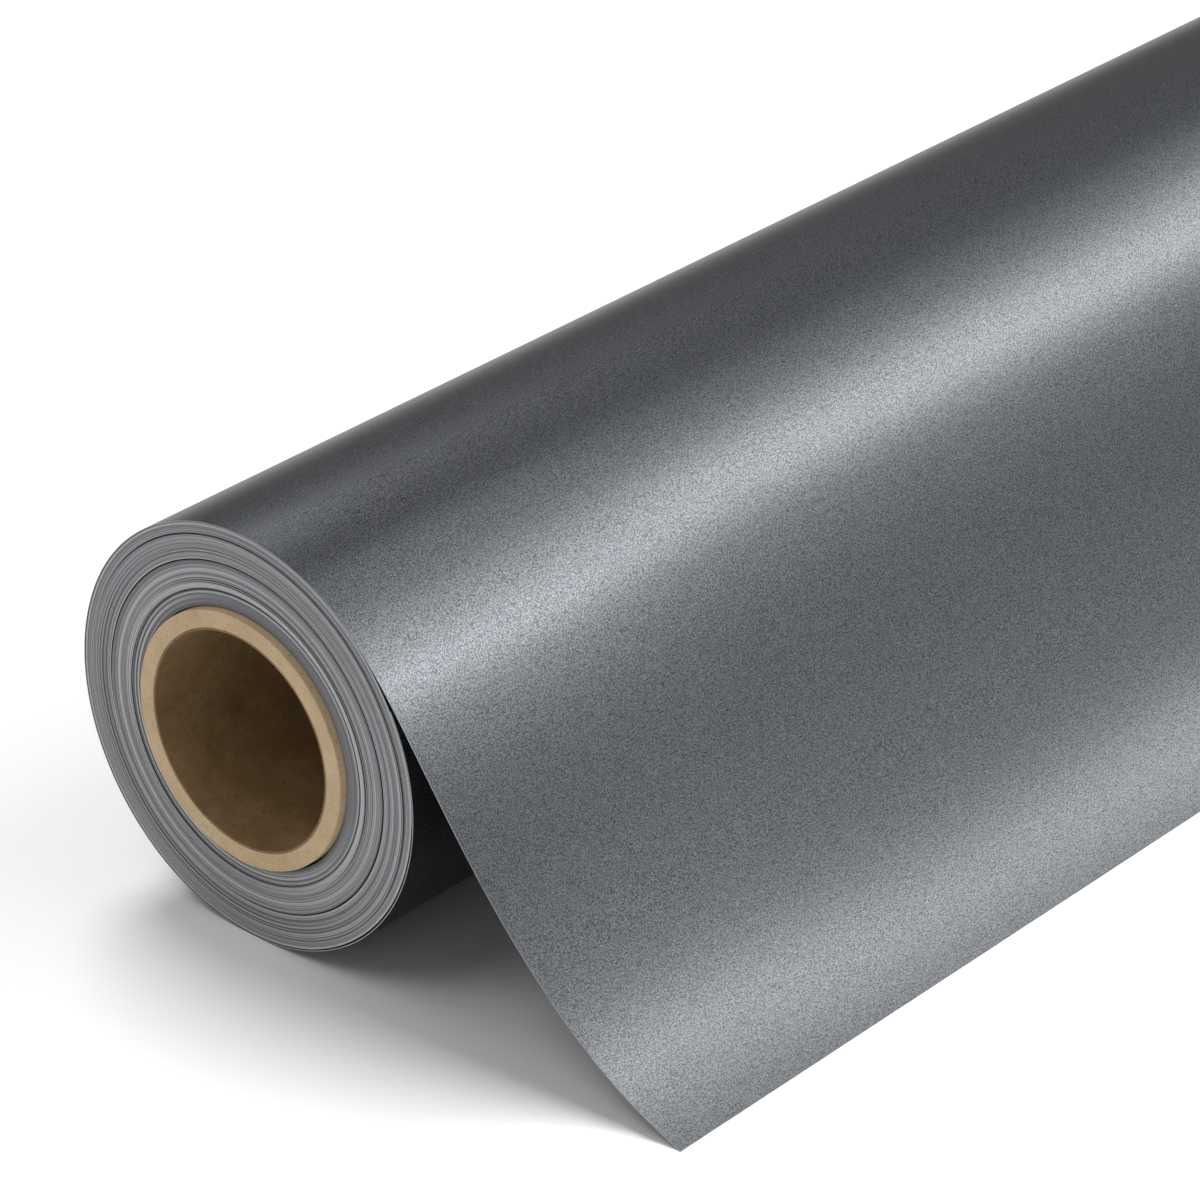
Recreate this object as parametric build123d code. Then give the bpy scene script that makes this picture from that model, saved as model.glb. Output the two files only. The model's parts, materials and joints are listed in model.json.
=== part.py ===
"""Backdrop paper roll: a long sheet of seamless paper wound on a spiral-ply board core.

The roll lies on a flat surface with its leader drawn off over the front.
Frame: origin on the core's axis at mid-length, +X along the core, +Z up, and the leader
falls towards -Y. All sizes are in millimetres and all angles in degrees.
Angles round the roll are polar in the YZ plane, from +Y towards +Z.
"""
import os
from math import acos, cos, degrees, radians, sin

from build123d import *

# ---- Core: a tube of board plies glued one on another ------------------------------
bore_diameter = 57.0
core_overhang = 2.0            # how far the core stands out past the paper at each end
liner_thickness = 0.65
board_ply_thickness = 0.65
board_ply_count = 6
outer_ply_thickness = 0.65

# ---- Start tape: double-sided strips that hold the sheet's first edge to the core --
tape_thickness = 0.15
tape_strip_width = 25.0        # measured round the core
tape_strip_length = 100.0      # measured along the core
tape_strip_count = 3
tape_end_margin = 60.0         # from the paper's side edge to the nearest strip
tape_angle = 40.0              # where the strips' middle lies

# ---- Paper -------------------------------------------------------------------------
paper_width = 1350.0
paper_thickness = 0.23
winding_pitch = 0.25           # one turn of paper with the air it is wound in
turn_clearance = 0.3           # slack between the wound turns and the outer turn

# The wound turns, from the core outwards: the turns in each tight band, and how far the
# band has crept along the core (telescoped) from the paper's middle.
wound_bands = [
    (18, 0.15),
    (7, -0.9),
    (4, 0.2),
    (19, -0.2),
    (11, 0.35),
    (15, -0.1),
    (10, 0.1),
]

# ---- Leader: the free end of the sheet, from the roll down to the surface ----------
departure_angle = 144.0        # where the sheet leaves the roll
leader_bends = [               # from the roll to the cut edge: upper face's radius, turn
    (220.0, 7.0),
    (200.0, 7.0),
    (100.0, 10.0),
    (105.0, 12.0),
]
hinge_gap = 0.3                # along the sheet, between the outer turn and the leader
under_leader_clearance = 0.3   # between the leader's lower face and the outer turn's end

# ---- Worked out from the sizes above -----------------------------------------------
bore_radius = bore_diameter / 2
core_length = paper_width + 2 * core_overhang
board_start_radius = bore_radius + liner_thickness
outer_ply_start_radius = board_start_radius + board_ply_count * board_ply_thickness
core_radius = outer_ply_start_radius + outer_ply_thickness
first_turn_radius = core_radius + tape_thickness
wound_turn_count = sum(turns for turns, creep in wound_bands)
wound_radius = first_turn_radius + wound_turn_count * winding_pitch
outer_turn_inner_radius = wound_radius + turn_clearance
roll_radius = outer_turn_inner_radius + paper_thickness
surface_height = -roll_radius


def tube(inner_radius, outer_radius, length, middle=0.0):
    """A plain tube round the X axis, with its middle at x = middle."""
    with BuildPart() as made:
        with BuildSketch(Plane.YZ.offset(middle - length / 2)):
            Circle(outer_radius)
            Circle(inner_radius, mode=Mode.SUBTRACT)
        extrude(amount=length)
    return made.part


def curved_strip(inner_radius, outer_radius, start_angle, sweep, length, middle=0.0):
    """A piece of tube wall that covers only `sweep` degrees, from start_angle onwards."""
    end_angle = start_angle + sweep
    inner_start = Vector(inner_radius * cos(radians(start_angle)), inner_radius * sin(radians(start_angle)))
    outer_end = Vector(outer_radius * cos(radians(end_angle)), outer_radius * sin(radians(end_angle)))
    with BuildPart() as made:
        with BuildSketch(Plane.YZ.offset(middle - length / 2)):
            with BuildLine():
                outer_arc = CenterArc((0, 0), outer_radius, start_angle, sweep)
                inner_arc = CenterArc((0, 0), inner_radius, start_angle, sweep)
                Line(inner_start, outer_arc @ 0)
                Line(outer_end, inner_arc @ 1)
            make_face()
        extrude(amount=length)
    return made.part


def core_plies():
    """The core's plies by name: liner, board plies and outer ply, each face to face."""
    plies = {"core_inner_liner": tube(bore_radius, board_start_radius, core_length)}
    for index in range(board_ply_count):
        inner = board_start_radius + index * board_ply_thickness
        plies[f"core_board_ply_{index + 1}"] = tube(inner, inner + board_ply_thickness, core_length)
    plies["core_outer_ply"] = tube(outer_ply_start_radius, core_radius, core_length)
    return plies


def start_tape():
    """Strips of double-sided tape in a row along the core, one solid each."""
    sweep = degrees(tape_strip_width / core_radius)
    first_middle = -paper_width / 2 + tape_end_margin + tape_strip_length / 2
    step = -2 * first_middle / (tape_strip_count - 1)
    strips = []
    for index in range(tape_strip_count):
        middle = first_middle + index * step
        strips.append(
            curved_strip(core_radius, first_turn_radius, tape_angle - sweep / 2, sweep, tape_strip_length, middle)
        )
    return Compound(strips)


def wound_turns():
    """The wound turns by name: tight bands, each starting where the one inside it ends."""
    bands = {}
    inner = first_turn_radius
    for index, (turns, creep) in enumerate(wound_bands):
        outer = inner + turns * winding_pitch
        bands[f"wound_turns_{index + 1}"] = tube(inner, outer, paper_width, creep)
        inner = outer
    return bands


def outer_turn():
    """The last turn round the roll, from the departure line over the top, back and bottom.

    It ends under the leader, where the leader's lower face has risen clear of it: a line that
    touches the circle of radius r has left it by R - r after the angle arccos(r / R).
    """
    clear_radius = roll_radius + under_leader_clearance
    rise_angle = degrees(acos(outer_turn_inner_radius / clear_radius))
    half_gap_angle = degrees(hinge_gap / 2 / roll_radius)
    end_angle = departure_angle + rise_angle
    sweep = 360 - rise_angle - half_gap_angle
    return curved_strip(outer_turn_inner_radius, roll_radius, end_angle, sweep, paper_width)


def leader():
    """The free sheet: a straight run and tangent bends, with its cut edge on the surface.

    A bend of radius r from slope a to slope b drops r (cos b - cos a), and the straight run
    takes up what is left of the height.
    """
    slope = departure_angle - 90
    straight_drop = outer_turn_inner_radius * sin(radians(departure_angle)) - surface_height
    for upper_radius, turn in leader_bends:
        under_radius = upper_radius + paper_thickness
        straight_drop -= under_radius * (cos(radians(slope - turn)) - cos(radians(slope)))
        slope -= turn
    straight_length = straight_drop / sin(radians(departure_angle - 90))

    outward = Vector(cos(radians(departure_angle)), sin(radians(departure_angle)))
    along = Vector(-outward.Y, outward.X)
    roots = []
    cut_corners = []
    with BuildPart() as made:
        with BuildSketch(Plane.YZ.offset(-paper_width / 2)):
            with BuildLine():
                for face_radius in (roll_radius, outer_turn_inner_radius):
                    below_upper_face = roll_radius - face_radius
                    root = outward * face_radius + along * (hinge_gap / 2)
                    run = Line(root, outward * face_radius + along * straight_length)
                    for upper_radius, turn in leader_bends:
                        run = JernArc(run @ 1, run % 1, upper_radius + below_upper_face, -turn)
                    roots.append(root)
                    cut_corners.append(run @ 1)
                Line(*roots)
                Line(*cut_corners)
            make_face()
        extrude(amount=paper_width)
    return made.part


def roll_parts():
    """Every node of the roll by name."""
    parts = core_plies()
    parts["start_tape"] = start_tape()
    parts.update(wound_turns())
    parts["paper_outer_turn"] = outer_turn()
    parts["paper_leader"] = leader()
    return parts


os.makedirs("parts", exist_ok=True)
for name, shape in roll_parts().items():
    export_step(shape, f"parts/{name}.step")
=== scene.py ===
"""Looks of a backdrop paper roll: one long sheet of seamless paper wound on a ply board core.

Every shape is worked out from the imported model's own boxes and joints. Lengths are in metres,
+X runs along the core, +Z is up and the leader falls towards -Y. Angles round the roll are
polar in the YZ plane, from +Y towards +Z, and the sheet's radius grows with the angle.
"""
import json
import math

import bpy
import numpy as np
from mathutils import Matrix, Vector


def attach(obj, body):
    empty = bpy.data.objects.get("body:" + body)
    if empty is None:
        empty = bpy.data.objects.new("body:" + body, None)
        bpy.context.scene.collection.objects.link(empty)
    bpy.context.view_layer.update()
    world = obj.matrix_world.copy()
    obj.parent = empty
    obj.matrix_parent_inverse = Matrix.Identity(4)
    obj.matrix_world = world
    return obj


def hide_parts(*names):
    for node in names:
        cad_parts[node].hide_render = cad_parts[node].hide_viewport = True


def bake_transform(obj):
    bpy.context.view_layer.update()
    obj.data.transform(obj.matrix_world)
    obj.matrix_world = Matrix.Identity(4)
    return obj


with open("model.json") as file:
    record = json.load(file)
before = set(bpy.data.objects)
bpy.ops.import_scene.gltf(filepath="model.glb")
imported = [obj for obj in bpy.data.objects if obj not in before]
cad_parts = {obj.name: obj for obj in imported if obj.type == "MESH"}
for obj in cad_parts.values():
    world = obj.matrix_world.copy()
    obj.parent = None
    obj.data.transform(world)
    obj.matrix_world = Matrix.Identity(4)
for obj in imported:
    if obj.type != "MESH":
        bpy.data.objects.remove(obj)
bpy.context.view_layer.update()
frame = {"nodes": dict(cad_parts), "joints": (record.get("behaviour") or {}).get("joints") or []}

MM = 0.001
TURN = 2 * math.pi
SHARP_ANGLE = math.radians(35)  # an edge bent by more than this is shaded as a crease

# ---- The sheet ---------------------------------------------------------------------
PAPER_THICKNESS = 0.23 * MM
WINDING_PITCH = 0.25 * MM
LEADER_BENDS = ((0.220, 7.0), (0.200, 7.0), (0.100, 10.0), (0.105, 12.0))  # radius, degrees
BEND_EASE = 32 * MM            # the stiff sheet changes its curvature gradually, over this length
BEND_SAMPLES = 41              # headings averaged over that length
SHEET_STEP = 1.25 * MM         # between grid columns along the sheet
SHEET_ROWS = 46                # grid rows from one side edge of the sheet to the other
SHEET_EDGE_TONE = 0.72         # the sheet's own cut edges, from 0 dark to 1 pale
SEAM_ANGLE = math.radians(-36)  # where the top sheet and the underside of the outer turn meet
UNDERSIDE_START = math.radians(152)

# ---- The wound turns ---------------------------------------------------------------
TURN_SEGMENTS = 256
BAND_START_ANGLE = math.radians(-45)
LAST_BAND_END_ANGLE = math.radians(183)
TURN_SQUEEZE = 0.018 * MM      # how much closer the turns lie where a band is pulled tight
CREEP_SHOWN = 0.3              # the share of a band's shift along X that its cut edges show
EDGE_CROWN = 0.02 * MM         # how far a cut edge bulges between its corners

# Windows round the roll are (from, to, soft edge) in degrees.
TIGHT_WINDOWS = {              # where each band is pulled tight: strength, then its window
    1: (0.5, (5, 110, 40)),
    2: (0.8, (60, 200, 60)),
    3: (1.0, (50, 235, 50)),
    4: (1.0, (-5, 285, 40)),
    5: (0.7, (60, 156, 50)),
    6: (1.0, (30, 200, 50)),
    7: (1.0, (183, 238, 30)),
}
CORE_POCKETS = (               # where the first turn stands off the core: height, then its window
    (0.30 * MM, (214, 240, 34)),
    (0.16 * MM, (34, 62, 34)),
)

# Noise from turn to turn: layers of (size, turns between its random values, seed).
EDGE_WANDER = ((0.06 * MM, 0.57, 11), (0.05 * MM, 2.3, 12))
TONE_LAYERS = ((0.38, 0.62, 21), (0.14, 2.9, 22))
TONE_MIDDLE = 0.57
TONE_LIMITS = (0.02, 1.0)
GROOVE_SHADE_NOISE = (1.1, 23)       # turns between its random values, seed
GROOVE_SHADE_CUT = (1.8, 0.8)        # the noise times the first, less the second, leaves a few narrow peaks
GROOVE_SHADE_STRENGTH = 0.55            # painted shade: darker by this where a turn lies sunk between its neighbours
GAP_SHADE = 0.7                # painted shade: darker by this on a band's last turn, where a gap opens outside it
GAP_EASE = 0.3                 # of a turn, over which that shade comes in
GAP_RIM_HIGHLIGHT = 0.2                  # painted highlight: paler by this on the first turn outside such a gap
# band 2 stands a little proud: a painted highlight lifts its edges' tone over a window
PALE_BAND = 2
PALE_BAND_HIGHLIGHT = 0.25
PALE_BAND_HIGHLIGHT_WINDOW = (-20, 240, 80)
CRESCENT_TURNS = 13            # the first turns lie pressed smooth over part of the way round, their edges under a flat, darker painted shade
CRESCENT_FADE = 2              # turns over which that ends
CRESCENT_WINDOW = (60, 215, 60)
CRESCENT_WANDER = 0.4          # the share of the edges' wander that is left there
CRESCENT_RIM = (13.3, 0.7)     # the rim outside them, with a painted highlight: its turn and its width in turns
CRESCENT_RIM_HIGHLIGHT = 0.35
CRESCENT_RIM_WINDOW = (70, 205, 60)

# ---- The core ----------------------------------------------------------------------
CORE_SEGMENTS = 240
PLY_EDGE_ROUND = 0.05 * MM
CORE_LIP_ROUND = 0.18 * MM
CORE_FINISHES = {              # dark brown, light brown, scale of the fibres along X, Y and Z
    "core_liner": ((0.175, 0.103, 0.038), (0.27, 0.175, 0.078), (1500.0, 700.0, 700.0)),
    "core_board": ((0.50, 0.355, 0.205), (0.61, 0.455, 0.28), (1600.0, 1600.0, 1600.0)),
    "core_kraft": ((0.49, 0.345, 0.195), (0.60, 0.44, 0.27), (900.0, 1600.0, 1600.0)),
}

# ---- Stage, light and camera -------------------------------------------------------
FLOOR_HALF = 6.0
FLOOR_STEPS = 25
SKY_STRENGTH = 0.27
STRIP_DISTANCE = 0.165         # from the line where the leader leaves the roll
STRIP_BOUNDS = (34, 40, 46, 53, 60, 78, 102)   # elevations round that line, in degrees
STRIP_PANELS = (               # name, left and right end, watts of each strip from low to high
    ("near", -0.66, -0.45, (0.28, 0.04, 0.04, 0.07, 0.08, 0.08)),
    ("middle", -0.45, -0.15, (0.08, 0.22, 0.10, 0.15, 0.15, 0.08)),
    ("far", -0.15, 0.75, (0.03, 0.70, 0.60, 0.27, 0.95, 0.42)),
)
FAR_DISTANCE = 2.0
FAR_SIDE = 0.9
FAR_TARGET = (-0.4, 0.0, 0.0)  # on the roll's axis, between its middle and its near end
FAR_LIGHTS = (                 # name, heading from -Y towards +X, elevation, watts
    ("front_right_box", 45, 35, 2.5),
    ("back_right_box", 160, 55, 30.0),
    ("back_box", 200, 45, 4.0),
    ("left_box", 260, 55, 6.0),
    ("end_box", 290, 12, 3.0),
)
CAMERA_STANDOFF = (-13.4514, -14.0543, 11.3464)   # from the near end's centre, in roll radii
CAMERA_YAW = 48.2526           # degrees from +Y towards +X
CAMERA_PITCH = 28.8118         # degrees below level
CAMERA_LENS = 156.6            # millimetres


# ------------------------------------------------------------------------------------
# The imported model's sizes
# ------------------------------------------------------------------------------------
def cad_tube(node):
    """Inner radius, outer radius and the two ends along X of a CAD tube about the X axis."""
    mesh = frame["nodes"][node].data
    points = np.empty(len(mesh.vertices) * 3, np.float32)
    mesh.vertices.foreach_get("co", points)
    points = points.reshape(-1, 3)
    radius = np.hypot(points[:, 1], points[:, 2])
    return float(radius.min()), float(radius.max()), float(points[:, 0].min()), float(points[:, 0].max())


TURN_RADIUS_IN, ROLL_RADIUS, PAPER_LEFT, PAPER_RIGHT = cad_tube("paper_outer_turn")
FLOOR_HEIGHT = -ROLL_RADIUS
LIFT_JOINT = next(joint for joint in frame["joints"] if joint["name"] == "leader_lift")
DEPARTURE_ANGLE = math.atan2(LIFT_JOINT["pos_m"][2], LIFT_JOINT["pos_m"][1])
CORE_PLIES = ["core_inner_liner"] + [f"core_board_ply_{i}" for i in range(1, 7)] + ["core_outer_ply"]
BANDS = sorted(node for node in frame["nodes"] if node.startswith("wound_turns_"))


# ------------------------------------------------------------------------------------
# Mesh helpers
# ------------------------------------------------------------------------------------
def mesh_from_quads(name, points, quads, face_slots, materials, attributes=None):
    """An object from an array of points and an array of quads, with one material slot per face."""
    mesh = bpy.data.meshes.new(name)
    mesh.vertices.add(len(points))
    mesh.vertices.foreach_set("co", points.astype(np.float32).ravel())
    mesh.loops.add(quads.size)
    mesh.loops.foreach_set("vertex_index", quads.astype(np.int32).ravel())
    mesh.polygons.add(len(quads))
    mesh.polygons.foreach_set("loop_start", np.arange(0, quads.size, 4, dtype=np.int32))
    mesh.polygons.foreach_set("material_index", face_slots.astype(np.int32))
    mesh.update(calc_edges=True)
    mesh.validate()
    for key, values in (attributes or {}).items():
        attribute = mesh.attributes.new(key, "FLOAT", "POINT")
        attribute.data.foreach_set("value", values.astype(np.float32).ravel())
    for material in materials:
        mesh.materials.append(material)
    mesh.shade_smooth()
    mesh.set_sharp_from_angle(angle=SHARP_ANGLE)
    piece = bpy.data.objects.new(name, mesh)
    bpy.context.scene.collection.objects.link(piece)
    return piece


def grid_quads(rows, columns, wrap_rows, wrap_columns):
    """Quads of a grid of rows x columns points, numbered row by row."""
    row = np.arange(rows if wrap_rows else rows - 1)[:, None]
    column = np.arange(columns if wrap_columns else columns - 1)[None, :]
    next_row = (row + 1) % rows
    next_column = (column + 1) % columns
    corners = (
        row * columns + column,
        row * columns + next_column,
        next_row * columns + next_column,
        next_row * columns + column,
    )
    return np.stack(np.broadcast_arrays(*corners), axis=-1).reshape(-1, 4)


def smooth_window(angle, window):
    """1 between a window's two polar angles and 0 outside, eased over its soft edge at each side."""
    start, end, soft = window
    middle, half = (start + end) / 2, (end - start) / 2
    away = np.abs((np.degrees(angle) - middle + 180) % 360 - 180)
    t = np.clip((half + soft / 2 - away) / soft, 0, 1)
    return t * t * (3 - 2 * t)


def smooth_noise(position, spacing, seed):
    """Noise from -1 to 1 along a line: random values every `spacing`, eased into one another."""
    knots = position / spacing
    values = np.random.RandomState(seed).uniform(-1, 1, int(np.ceil(knots.max())) + 3)
    index = np.floor(knots).astype(int)
    t = knots - index
    t = t * t * (3 - 2 * t)
    return values[index] * (1 - t) + values[index + 1] * t


def layered_noise(position, layers):
    """Smooth noises added up, each layer with its size, spacing and seed."""
    return sum(size * smooth_noise(position, spacing, seed) for size, spacing, seed in layers)


# ------------------------------------------------------------------------------------
# Materials
# ------------------------------------------------------------------------------------
class Nodes:
    """A short way to write a material's node tree on Object coordinates."""

    def __init__(self, name):
        self.material = bpy.data.materials.new(name)
        self.material.use_nodes = True
        self.tree = self.material.node_tree
        self.shader = self.tree.nodes["Principled BSDF"]
        self.place = self.add("ShaderNodeTexCoord").outputs["Object"]

    def add(self, kind, **settings):
        node = self.tree.nodes.new(kind)
        for key, value in settings.items():
            setattr(node, key, value)
        return node

    def link(self, source, target):
        self.tree.links.new(source, target)

    def set(self, **values):
        for key, value in values.items():
            self.shader.inputs[key.replace("_", " ")].default_value = value

    def stretched(self, scale):
        mapping = self.add("ShaderNodeMapping")
        mapping.inputs["Scale"].default_value = scale
        self.link(self.place, mapping.inputs["Vector"])
        return mapping.outputs["Vector"]

    def noise(self, scale, detail=2.0, roughness=0.5, vector=None):
        node = self.add("ShaderNodeTexNoise")
        node.inputs["Scale"].default_value = scale
        node.inputs["Detail"].default_value = detail
        node.inputs["Roughness"].default_value = roughness
        self.link(vector or self.place, node.inputs["Vector"])
        return node.outputs["Fac"]

    def ramp(self, factor, stops):
        node = self.add("ShaderNodeValToRGB")
        while len(node.color_ramp.elements) < len(stops):
            node.color_ramp.elements.new(0.5)
        for element, (position, colour) in zip(node.color_ramp.elements, stops):
            element.position = position
            element.color = (*colour, 1.0)
        self.link(factor, node.inputs["Fac"])
        return node.outputs["Color"]

    def mix(self, factor, first, second, blend="MIX"):
        node = self.add("ShaderNodeMix", data_type="RGBA", blend_type=blend)
        sockets = (node.inputs["Factor"], node.inputs[6], node.inputs[7])
        for socket, value in zip(sockets, (factor, first, second)):
            if isinstance(value, (float, int)):
                socket.default_value = value
            elif isinstance(value, tuple):
                socket.default_value = (*value, 1.0)
            else:
                self.link(value, socket)
        return node.outputs[2]

    def span(self, value, low, high):
        """value, from 0 to 1, spread between low and high."""
        node = self.add("ShaderNodeMath", operation="MULTIPLY_ADD")
        self.link(value, node.inputs[0])
        node.inputs[1].default_value = high - low
        node.inputs[2].default_value = low
        return node.outputs[0]

    def bump(self, height, distance, strength):
        """Roughen the surface by a height from 0 to 1, over a distance in metres."""
        node = self.add("ShaderNodeBump")
        node.inputs["Strength"].default_value = strength
        node.inputs["Distance"].default_value = distance
        self.link(height, node.inputs["Height"])
        self.link(node.outputs["Normal"], self.shader.inputs["Normal"])

    def attribute(self, name):
        return self.add("ShaderNodeAttribute", attribute_name=name).outputs["Fac"]


def seamless_paper_material():
    """Blue-grey paper with a soft metallic coating: fine grain in its tone, gloss and surface."""
    n = Nodes("seamless_paper")
    grain = n.noise(2800.0, detail=1.0, roughness=0.5)
    clouds = n.noise(28.0, detail=3.0)
    flecks = n.ramp(grain, [(0.36, (0.026, 0.028, 0.031)), (0.64, (0.102, 0.107, 0.113))])
    colour = n.mix(n.span(clouds, 0.0, 0.25), flecks, (0.058, 0.062, 0.067))
    n.link(colour, n.shader.inputs["Base Color"])
    n.link(n.span(grain, 0.27, 0.35), n.shader.inputs["Roughness"])
    n.set(Metallic=0.75, Specular_Tint=(0.55, 0.55, 0.55, 1.0), Specular_IOR_Level=0.35)
    n.bump(grain, 0.000045, strength=0.5)
    return n.material


def paper_edge_material():
    """Cut edges of the sheet: lighter and duller, a tone for each turn with painted shade and
    highlights, fine fibres across.
    """
    n = Nodes("paper_edge")
    fibres = n.noise(1.0, detail=3.0, vector=n.stretched((300.0, 2600.0, 2600.0)))
    stops = [(0.0, (0.05, 0.05, 0.055)), (0.5, (0.29, 0.29, 0.305)), (1.0, (0.66, 0.66, 0.68))]
    tone = n.ramp(n.attribute("turn_tone_and_shading"), stops)
    # painted shade: a flat, darker tone over the crescent of pressed first turns
    crescent_shaded = n.mix(n.attribute("crescent"), tone, (0.23, 0.228, 0.25))
    colour = n.mix(n.span(fibres, 0.0, 0.45), crescent_shaded, (0.13, 0.13, 0.14))
    n.link(colour, n.shader.inputs["Base Color"])
    n.set(Roughness=0.78)
    n.bump(fibres, 0.00005, strength=0.5)
    return n.material


def board_material(name, dark, light, fibre_scale):
    """Kraft board: two browns mottled together, sparse darker fibre flecks, a slightly rough face."""
    n = Nodes(name)
    mottle = n.noise(90.0, detail=5.0, roughness=0.65)
    fibres = n.noise(1.0, detail=3.0, roughness=0.65, vector=n.stretched(fibre_scale))
    flecks = n.ramp(fibres, [(0.30, (0.25, 0.22, 0.18)), (0.42, (1.0, 1.0, 1.0))])
    browns = n.ramp(mottle, [(0.30, dark), (0.70, light)])
    colour = n.mix(0.6, browns, n.mix(1.0, browns, flecks, "MULTIPLY"))
    n.link(colour, n.shader.inputs["Base Color"])
    n.link(n.span(mottle, 0.65, 0.85), n.shader.inputs["Roughness"])
    n.bump(fibres, 0.00006, strength=0.5)
    return n.material


def tape_material():
    """Translucent double-sided tape with a faint backing grain."""
    n = Nodes("adhesive_tape")
    grain = n.noise(600.0, detail=2.0)
    colour = n.ramp(grain, [(0.3, (0.72, 0.71, 0.64)), (0.7, (0.82, 0.81, 0.75))])
    n.link(colour, n.shader.inputs["Base Color"])
    n.set(Roughness=0.35)
    n.bump(grain, 0.00003, strength=0.4)
    return n.material


def floor_material():
    """A plain pale floor with a trace of unevenness."""
    n = Nodes("studio_floor")
    colour = n.ramp(n.noise(3.0), [(0.0, (0.86, 0.86, 0.86)), (1.0, (0.90, 0.90, 0.90))])
    n.link(colour, n.shader.inputs["Base Color"])
    n.set(Roughness=0.9)
    return n.material


# ------------------------------------------------------------------------------------
# The sheet: a thin closed ribbon carried along a path in the YZ plane
# ------------------------------------------------------------------------------------
def ribbon(name, outer, inner, left, right, rows, crown, materials, attributes):
    """A closed ribbon of paper.

    outer and inner are paths in the YZ plane, one for each face. At each point of the path the
    section goes along the outer face in `rows` points from the left side edge to the right one,
    over the right edge, back along the inner face and over the left edge. Each edge has two
    points between its corners, which bulge by `crown`. Slot 0 is the faces, slot 1 the edges.
    attributes gives one value for each point of the path under each name.
    """
    count = len(outer)
    face = np.linspace(0.0, 1.0, rows)
    along = np.concatenate([face, [1.0, 1.0], face[::-1], [0.0, 0.0]])
    depth = np.concatenate([np.zeros(rows), [0.25, 0.75], np.ones(rows), [0.75, 0.25]])
    bulge = np.concatenate([np.zeros(rows), [crown, crown], np.zeros(rows), [-crown, -crown]])
    x = left[:, None] + (right - left)[:, None] * along + bulge
    section = outer[:, None, :] + (inner - outer)[:, None, :] * depth[None, :, None]
    points = np.concatenate([x[..., None], section], axis=-1).reshape(-1, 3)

    around = len(along)
    quads = grid_quads(count, around, False, True)
    is_edge = np.zeros(around, bool)
    is_edge[rows - 1:rows + 2] = True
    is_edge[2 * rows + 1:] = True
    slots = np.tile(is_edge, count - 1).astype(int)
    top = np.array([around - 1, *range(rows), rows])
    bottom = np.array([around - 2, *range(2 * rows + 1, rows + 1, -1), rows + 1])
    cap = np.stack([top[:-1], top[1:], bottom[1:], bottom[:-1]], axis=-1)
    quads = np.concatenate([quads, cap, cap[:, ::-1] + (count - 1) * around])
    slots = np.concatenate([slots, np.ones(2 * len(cap), int)])
    spread = {key: np.repeat(values, around) for key, values in attributes.items()}
    return mesh_from_quads(name, points, quads, slots, materials, spread)


def sheet_path(start, heading, runs):
    """A smooth path in the YZ plane from runs of (length, turn in radians).

    The heading along sharp runs is a chain of straight lines over the arc length. Here it is
    averaged over BEND_EASE, with the first and last run going on past the ends. A step of arc s
    and turn a is a chord s sin(a / 2) / (a / 2) long, half of a off its heading.
    Returns the points and the heading at each point.
    """
    lengths = np.array([BEND_EASE] + [length for length, turn in runs] + [BEND_EASE])
    turns = np.array([turn for length, turn in runs])
    past_ends = BEND_EASE * turns[[0, -1]] / lengths[[1, -2]]
    corners = np.concatenate([[0.0], np.cumsum(lengths)]) - BEND_EASE
    turned = np.concatenate([[0.0], np.cumsum([past_ends[0], *turns, past_ends[1]])]) - past_ends[0]

    arc = np.linspace(0.0, corners[-2], int(round(corners[-2] / SHEET_STEP)) + 1)
    window = np.linspace(-0.5, 0.5, BEND_SAMPLES) * BEND_EASE
    headings = heading + np.interp(arc[:, None] + window, corners, turned).mean(axis=1)
    bends = np.diff(headings)
    chords = np.diff(arc) * np.sinc(bends / TURN)
    along = headings[:-1] + bends / 2
    moves = np.stack([np.cos(along), np.sin(along)], axis=-1) * chords[:, None]
    return start + np.concatenate([[[0.0, 0.0]], np.cumsum(moves, axis=0)]), headings


def polar(radius, angle):
    """Points in the YZ plane at a radius and polar angle."""
    return np.stack([radius * np.cos(angle), radius * np.sin(angle)], axis=-1)


def sheet_faces(start_angle, runs):
    """Outer and inner path of a stretch that starts on the roll's outside at a polar angle."""
    outer, headings = sheet_path(polar(ROLL_RADIUS, start_angle), start_angle + math.pi / 2, runs)
    outward = np.stack([np.sin(headings), -np.cos(headings)], axis=-1)
    return outer, outer - outward * (ROLL_RADIUS - TURN_RADIUS_IN)


def top_runs(straight):
    """The top sheet: over the roll to the departure line, a straight run, then the leader's bends."""
    over_the_top = DEPARTURE_ANGLE - SEAM_ANGLE
    bends = [(radius * math.radians(turn), -math.radians(turn)) for radius, turn in LEADER_BENDS]
    return [(ROLL_RADIUS * over_the_top, over_the_top), (straight, 0.0), *bends]


def leader_straight_length():
    """The straight run that brings the cut edge's lower corner down to the floor, to a micrometre."""
    straight = 38 * MM         # a first guess, which each pass corrects
    for correction in range(4):
        inner = sheet_faces(SEAM_ANGLE, top_runs(straight))[1]
        straight += (inner[-1, 1] - FLOOR_HEIGHT) / math.sin(DEPARTURE_ANGLE - math.pi / 2)
    return straight


def sheet_piece(name, start_angle, runs):
    """A stretch of the sheet as a ribbon from one side edge of the paper to the other."""
    outer, inner = sheet_faces(start_angle, runs)
    left = np.full(len(outer), PAPER_LEFT)
    right = np.full(len(outer), PAPER_RIGHT)
    edge = {"turn_tone_and_shading": np.full(len(outer), SHEET_EDGE_TONE), "crescent": np.zeros(len(outer))}
    return ribbon(name, outer, inner, left, right, SHEET_ROWS, EDGE_CROWN, PAPER_SLOTS, edge)


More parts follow.
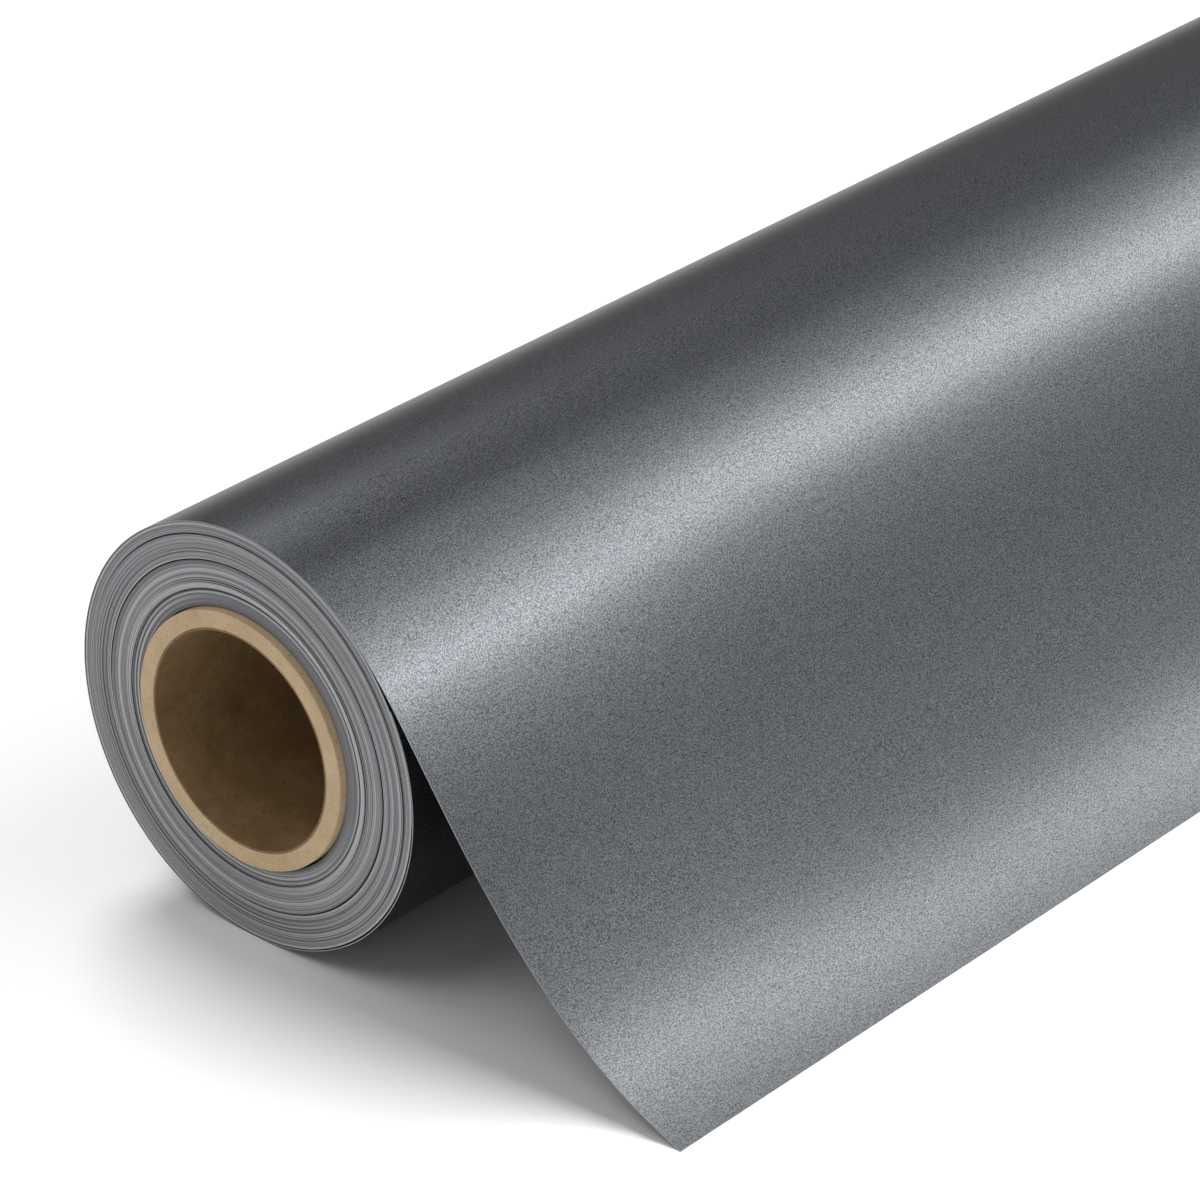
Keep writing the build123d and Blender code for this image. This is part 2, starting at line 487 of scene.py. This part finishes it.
def make_sheet():
    """The outer turn and the leader: the top piece leaves the roll at the departure line, the underside
    rides.
    """
    runs = top_runs(leader_straight_length())
    top = sheet_piece("seamless_sheet", SEAM_ANGLE, runs)
    under = SEAM_ANGLE + TURN - UNDERSIDE_START
    bottom = sheet_piece("outer_turn_underside", UNDERSIDE_START, [(ROLL_RADIUS * under, under)])

    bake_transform(top)
    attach(bottom, "outer_turn")
    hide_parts("paper_leader", "paper_outer_turn")
    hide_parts("paper_outer_turn")


# ------------------------------------------------------------------------------------
# The wound turns
# ------------------------------------------------------------------------------------
def tightness(band, angle):
    """How hard band `band` is pulled in at each polar angle, from 0 to 1: a gap opens outside it."""
    strength, window = TIGHT_WINDOWS[band]
    return strength * smooth_window(angle, window)


def core_lift(angle):
    """How far the first turn stands off the core, in metres: two shallow pockets."""
    return sum(height * smooth_window(angle, window) for height, window in CORE_POCKETS)


def edge_tone_and_shading(number, turn, turns, total, angle):
    """Tone of a band's cut edge, from 0 dark to 1 pale.

    Noise from turn to turn, less painted shade in the grooves where a turn lies sunk. A band's
    last turn gets painted shade where the band is pulled away from the next one, whose first turn
    gets a painted highlight that fades out within one turn more. The pale band and, by a narrow
    bell over the turns, the crescent's rim get painted highlights too.
    """
    tone = TONE_MIDDLE + layered_noise(total, TONE_LAYERS)
    # painted shade in the grooves: narrow dark lines where a turn lies sunk
    gain, cut = GROOVE_SHADE_CUT
    tone = tone - GROOVE_SHADE_STRENGTH * np.clip(smooth_noise(total, *GROOVE_SHADE_NOISE) * gain - cut, 0, 1)
    # painted highlight on the pale band, which stands a little proud
    if number == PALE_BAND:
        tone = tone + PALE_BAND_HIGHLIGHT * smooth_window(angle, PALE_BAND_HIGHLIGHT_WINDOW)
    # painted shade on a band's last turn, where a gap opens outside it
    last_turn = np.clip((turn - turns + 1.0) / GAP_EASE, 0, 1)
    tone = tone - GAP_SHADE * last_turn * tightness(number, angle)
    # painted highlight on the first turn of the next band, beside the gap
    if number > 1:
        first_turn = np.clip(1.0 + GAP_EASE - turn, 0, 1)
        tone = tone + GAP_RIM_HIGHLIGHT * first_turn * tightness(number - 1, angle)
    # painted highlight on the rim outside the crescent
    rim_turn, rim_width = CRESCENT_RIM
    rim = np.exp(-((total - rim_turn) / rim_width) ** 2) * smooth_window(angle, CRESCENT_RIM_WINDOW)
    return np.clip(tone + CRESCENT_RIM_HIGHLIGHT * rim, *TONE_LIMITS)


def wound_band(number, node, turns_before, creep_before):
    """One tight band of turns as a single spiral ribbon.

    At turn t of the band the inner face has radius
    r = inner radius + t (pitch - squeeze x tightness(angle)) + core_lift(angle) (1 - t / turns),
    so the band fills its share of the roll and leaves its slack outside it where it is tight.
    The side edges wander along X by smooth noise, so some turns stand proud of others, and the
    first turn carries the creep along X over from the band before.
    """
    inner_radius, outer_radius, left, right = cad_tube(node)
    turns = round((outer_radius - inner_radius) / WINDING_PITCH)
    if node == BANDS[-1]:
        turns += (LAST_BAND_END_ANGLE - BAND_START_ANGLE) / TURN - 1
    pitch = (outer_radius - inner_radius) / turns
    turn = np.linspace(0.0, turns, int(turns * TURN_SEGMENTS) + 1)
    angle = BAND_START_ANGLE + turn * TURN
    radius = inner_radius + turn * (pitch - TURN_SQUEEZE * tightness(number, angle))
    if number == 1:
        radius = radius + core_lift(angle) * (1 - turn / turns)

    total = turns_before + turn
    pressed = np.clip((CRESCENT_TURNS - total) / CRESCENT_FADE, 0, 1)
    crescent = smooth_window(angle, CRESCENT_WINDOW) * pressed
    first = np.clip(turn, 0, 1)
    eased = first ** 2 * (3 - 2 * first)
    creep = CREEP_SHOWN * (left + right) / 2
    wander = layered_noise(total, EDGE_WANDER) * (1 - (1 - CRESCENT_WANDER) * crescent)
    shift = creep_before + (creep - creep_before) * eased + wander - (left + right) / 2

    outer = polar(radius + PAPER_THICKNESS, angle)
    inner = polar(radius, angle)
    edge = {"turn_tone_and_shading": edge_tone_and_shading(number, turn, turns, total, angle), "crescent": crescent}
    name = node.replace("wound_turns", "wound_paper")
    piece = ribbon(name, outer, inner, left + shift, right + shift, 2, EDGE_CROWN, PAPER_SLOTS, edge)
    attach(piece, "roll")
    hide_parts(node)
    return turns_before + turns, creep


def make_wound_turns():
    """All bands from the core outwards, each starting where the sheet left the one before."""
    turns, creep = 0.0, 0.0
    for number, node in enumerate(BANDS, start=1):
        turns, creep = wound_band(number, node, turns, creep)


# ------------------------------------------------------------------------------------
# The core
# ------------------------------------------------------------------------------------
def rounded_section(inner, outer, left, right, inner_round, outer_round):
    """A closed section (x, radius) of a tube wall with quarter-round corners, four points each."""
    quarter = np.linspace(0.0, math.pi / 2, 4)
    corners = (
        (right - outer_round, outer - outer_round, outer_round, math.pi / 2, -1),
        (right - inner_round, inner + inner_round, inner_round, 0.0, -1),
        (left + inner_round, inner + inner_round, inner_round, -math.pi / 2, -1),
        (left + outer_round, outer - outer_round, outer_round, -math.pi, -1),
    )
    points = [
        np.stack([x + r * np.cos(start + way * quarter), y + r * np.sin(start + way * quarter)], axis=-1)
        for x, y, r, start, way in corners
    ]
    return np.concatenate(points)


def make_core():
    """The plies: each a tube of revolution, x and radius from the section, swept about the X axis."""
    slots = {"core_inner_liner": "core_liner", "core_outer_ply": "core_kraft"}
    for node in CORE_PLIES:
        inner, outer, left, right = cad_tube(node)
        inner_round = CORE_LIP_ROUND if node == CORE_PLIES[0] else PLY_EDGE_ROUND
        outer_round = CORE_LIP_ROUND if node == CORE_PLIES[-1] else PLY_EDGE_ROUND
        section = rounded_section(inner, outer, left, right, inner_round, outer_round)
        angle = np.arange(CORE_SEGMENTS) * TURN / CORE_SEGMENTS
        x = np.broadcast_to(section[None, :, 0], (CORE_SEGMENTS, len(section)))
        y = np.cos(angle)[:, None] * section[None, :, 1]
        z = np.sin(angle)[:, None] * section[None, :, 1]
        points = np.stack([x, y, z], axis=-1).reshape(-1, 3)
        quads = grid_quads(CORE_SEGMENTS, len(section), True, True)
        slot = slots.get(node, "core_board")
        name = node.replace("core_", "core_tube_")
        piece = mesh_from_quads(name, points, quads, np.zeros(len(quads)), [CORE_MATERIALS[slot]])
        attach(piece, "roll")
        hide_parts(node)


def finish_tape():
    """The tape strips keep their own plain shape, hidden under the first turn, and get a finish."""
    tape = frame["nodes"]["start_tape"].data
    tape.materials.clear()
    tape.materials.append(tape_material())


# ------------------------------------------------------------------------------------
# Stage, light and camera
# ------------------------------------------------------------------------------------
def make_floor():
    """A wide pale floor at the roll's lowest line."""
    side = np.linspace(-FLOOR_HALF, FLOOR_HALF, FLOOR_STEPS)
    x, y = np.meshgrid(side, side, indexing="ij")
    points = np.stack([x, y, np.full_like(x, FLOOR_HEIGHT)], axis=-1).reshape(-1, 3)
    quads = grid_quads(FLOOR_STEPS, FLOOR_STEPS, False, False)[:, ::-1]
    floor = mesh_from_quads("studio_floor", points, quads, np.zeros(len(quads)), [floor_material()])


def softbox(name, place, target, size, power):
    """A rectangular light at a place, facing a target: size is (along, across) in metres."""
    data = bpy.data.lights.new(name, "AREA")
    data.shape = "RECTANGLE"
    data.size, data.size_y = size
    data.energy = power
    light = bpy.data.objects.new(name, data)
    light.location = place
    light.rotation_euler = (Vector(target) - Vector(place)).to_track_quat("-Z", "Y").to_euler()
    light.visible_camera = False
    bpy.context.scene.collection.objects.link(light)


def strip_light(name, left, right, low, high, power):
    """A long light along X, between two elevations round the line where the leader leaves the roll."""
    middle = (left + right) / 2
    angle = math.radians((low + high) / 2)
    centre = (middle, LIFT_JOINT["pos_m"][1], LIFT_JOINT["pos_m"][2])
    way = Vector((0.0, -math.cos(angle), math.sin(angle)))
    width = STRIP_DISTANCE * math.radians(high - low)
    softbox(name, Vector(centre) + way * STRIP_DISTANCE, centre, (right - left, width), power)


def far_light(name, heading, elevation, power):
    """A square softbox at FAR_DISTANCE from FAR_TARGET, by its heading and elevation in degrees."""
    turn, lift = math.radians(heading), math.radians(elevation)
    way = Vector((math.sin(turn) * math.cos(lift), -math.cos(turn) * math.cos(lift), math.sin(lift)))
    target = Vector(FAR_TARGET)
    softbox(name, target + way * FAR_DISTANCE, target, (FAR_SIDE, FAR_SIDE), power)


def make_light():
    """Three panels of strips over the leader for the long highlight, far boxes and an even pale sky.

    The far boxes whiten the floor and throw the soft shadow. The strips of a panel lie edge to
    edge, so the highlight has no bands.
    """
    sky = bpy.data.worlds.new("studio")
    sky.use_nodes = True
    background = sky.node_tree.nodes["Background"]
    background.inputs["Color"].default_value = (1.0, 1.0, 1.0, 1.0)
    background.inputs["Strength"].default_value = SKY_STRENGTH
    bpy.context.scene.world = sky
    for panel, left, right, powers in STRIP_PANELS:
        for low, high, power in zip(STRIP_BOUNDS, STRIP_BOUNDS[1:], powers):
            strip_light(f"{panel}_strip_{low}", left, right, low, high, power)
    for name, heading, elevation, power in FAR_LIGHTS:
        far_light(name, heading, elevation, power)


def make_camera():
    """A long lens that looks down along the roll from in front of its near end."""
    data = bpy.data.cameras.new("camera")
    data.lens = CAMERA_LENS
    camera = bpy.data.objects.new("camera", data)
    near_end = Vector((PAPER_LEFT, 0.0, 0.0))
    camera.location = near_end + Vector(CAMERA_STANDOFF) * ROLL_RADIUS
    camera.rotation_euler = (math.radians(90 - CAMERA_PITCH), 0.0, math.radians(-CAMERA_YAW))
    bpy.context.scene.collection.objects.link(camera)
    bpy.context.scene.camera = camera
    bpy.context.scene.view_settings.view_transform = "Standard"


PAPER_SLOTS = [seamless_paper_material(), paper_edge_material()]
CORE_MATERIALS = {name: board_material(name, *finish) for name, finish in CORE_FINISHES.items()}
make_camera()
make_sheet()
make_wound_turns()
make_core()
finish_tape()
make_floor()
make_light()
